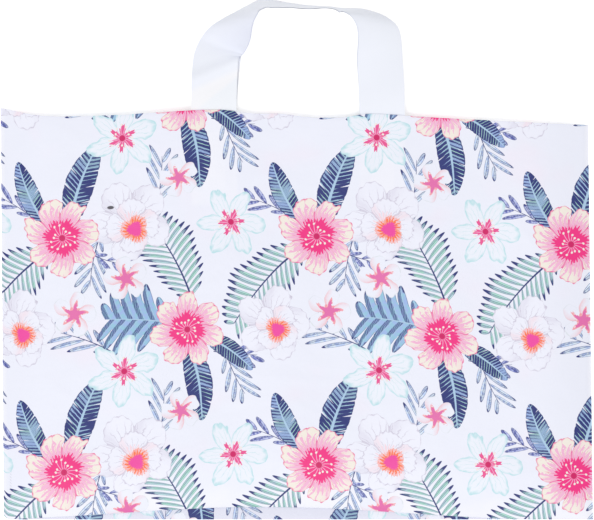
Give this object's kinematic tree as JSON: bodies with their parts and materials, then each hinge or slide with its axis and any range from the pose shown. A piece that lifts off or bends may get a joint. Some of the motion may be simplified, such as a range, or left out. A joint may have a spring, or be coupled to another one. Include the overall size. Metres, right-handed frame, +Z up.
{
  "type": "plastic carrier bag",
  "caption": "Flat plastic carrier bag with a folded bottom gusset, turned-in top hems and two soft loop handles welded inside the mouth.",
  "frame": {"origin": "centre of the bag's box on the surface it lies on", "axes": "+X across the bag along its mouth, +Y from the bottom fold to the handles, +Z up from the table, out of the front panel"},
  "size_m": [0.5062, 0.444, 0.0406],
  "materials": {
    "film": "satin milky film with a flower and leaf print",
    "ribbon": "satin milky two-ply film, unprinted"
  },
  "bodies": {
    "root": {"bag_body": "film", "front_handle": "ribbon", "rear_handle": "ribbon"}
  },
  "joints": []
}
